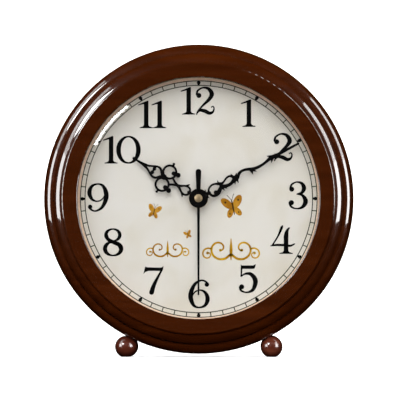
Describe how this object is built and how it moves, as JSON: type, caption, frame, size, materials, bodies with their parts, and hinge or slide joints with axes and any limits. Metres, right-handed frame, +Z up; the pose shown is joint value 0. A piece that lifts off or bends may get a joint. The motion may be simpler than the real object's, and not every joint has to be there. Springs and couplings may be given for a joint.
{
  "type": "mantel clock",
  "caption": "Round turned-wood mantel clock on four ball feet, with a domed glass, decorated dial, fretted black hands and a battery quartz movement behind an open back.",
  "frame": {"origin": "on the shelf, under the middle of the case", "axes": "+Z up, the dial faces -Y, +X to the right seen from the front"},
  "size_m": [0.22, 0.05, 0.2222],
  "materials": {
    "wood": "gloss lacquered red-brown",
    "foot_wood": "gloss lacquered",
    "plain_wood": "raw beech",
    "dark_board": "dark stained board",
    "screw_steel": "bright zinc",
    "glass": "clear polished",
    "spacer_cream": "cream",
    "dial_paint": "cream matt with printed decoration",
    "board": "raw fibreboard",
    "rubber": "matt",
    "brass": "satin",
    "hand_black": "matt black",
    "cap_brass": "satin",
    "case_plastic": "black moulded",
    "plate_plastic": "natural",
    "gear_white": "white",
    "gear_grey": "grey",
    "steel": "turned",
    "magnet": "ground",
    "lamination": "annealed",
    "bobbin": "natural",
    "winding": "enamelled copper",
    "circuit": "green resist",
    "resin": "black resin",
    "contact": "nickel plated",
    "cell": "dark wrap with bright ends",
    "knob_plastic": "black moulded"
  },
  "bodies": {
    "case": {"front_bezel": "wood", "case_drum": "wood", "case_dowels": "plain_wood", "foot_front_left": "foot_wood", "foot_front_right": "foot_wood", "foot_rear_left": "foot_wood", "foot_rear_right": "foot_wood", "foot_dowels": "plain_wood", "back_panel": "dark_board", "back_screws": "screw_steel", "glass_lens": "glass", "spacer_ring": "spacer_cream", "dial_disc": "dial_paint", "dial_board": "board", "board_screws": "screw_steel", "rubber_gasket": "rubber", "dial_washer": "brass", "hex_nut": "brass", "threaded_bushing": "brass", "movement_front_shell": "case_plastic", "movement_middle_plate": "plate_plastic", "movement_rear_shell": "case_plastic", "movement_screws": "screw_steel", "stator_core": "lamination", "coil_bobbin": "bobbin", "coil_winding": "winding", "circuit_board": "circuit", "chip_blob": "resin", "quartz_crystal": "steel", "contact_plus": "contact", "contact_minus": "contact", "battery_cell": "cell"},
    "hour_hands": {"hour_wheel": "gear_white", "hour_collet": "brass", "hour_hand": "hand_black"},
    "minute_hands": {"minute_arbor": "brass", "minute_wheel": "gear_white", "minute_collet": "brass", "minute_hand": "hand_black"},
    "second_hands": {"second_arbor": "steel", "second_wheel": "gear_grey", "second_hand": "hand_black", "second_cap": "cap_brass"},
    "third_gear": {"third_wheel": "gear_white", "third_arbor": "steel"},
    "intermediate_gear": {"intermediate_wheel": "gear_grey"},
    "rotor": {"rotor_pinion": "gear_white", "rotor_magnet": "magnet"},
    "reverse_gear": {"reverse_wheel": "gear_grey"},
    "setting_shaft": {"setting_arbor": "gear_white", "set_knob": "knob_plastic"}
  },
  "joints": [
    {"name": "minute_turn", "type": "hinge", "parent": "case", "child": "minute_hands", "pos_m": [0, 0, 0.11218], "axis": [0, 1, 0], "continuous": true},
    {"name": "hour_turn", "type": "hinge", "parent": "case", "child": "hour_hands", "pos_m": [0, 0, 0.11218], "axis": [0, 1, 0], "continuous": true},
    {"name": "second_turn", "type": "hinge", "parent": "case", "child": "second_hands", "pos_m": [0, 0, 0.11218], "axis": [0, 1, 0], "continuous": true},
    {"name": "third_turn", "type": "hinge", "parent": "case", "child": "third_gear", "pos_m": [0.00846, 0, 0.11526], "axis": [0, 1, 0], "continuous": true},
    {"name": "intermediate_turn", "type": "hinge", "parent": "case", "child": "intermediate_gear", "pos_m": [-0.0065, 0, 0.11593], "axis": [0, 1, 0], "continuous": true},
    {"name": "rotor_turn", "type": "hinge", "parent": "case", "child": "rotor", "pos_m": [-0.01169, 0, 0.12113], "axis": [0, 1, 0], "continuous": true},
    {"name": "reverse_turn", "type": "hinge", "parent": "case", "child": "reverse_gear", "pos_m": [0.006, 0, 0.12257], "axis": [0, 1, 0], "continuous": true},
    {"name": "setting_turn", "type": "hinge", "parent": "case", "child": "setting_shaft", "pos_m": [0.0195, 0, 0.12257], "axis": [0, 1, 0], "continuous": true}
  ],
  "couplings": [
    {"joint": "hour_turn", "follows": "minute_turn", "ratio": 0.083333},
    {"joint": "second_turn", "follows": "minute_turn", "ratio": 60},
    {"joint": "third_turn", "follows": "minute_turn", "ratio": -8},
    {"joint": "intermediate_turn", "follows": "minute_turn", "ratio": -300},
    {"joint": "rotor_turn", "follows": "minute_turn", "ratio": 1800},
    {"joint": "reverse_turn", "follows": "minute_turn", "ratio": -0.33333},
    {"joint": "setting_turn", "follows": "minute_turn", "ratio": 0.66667}
  ]
}
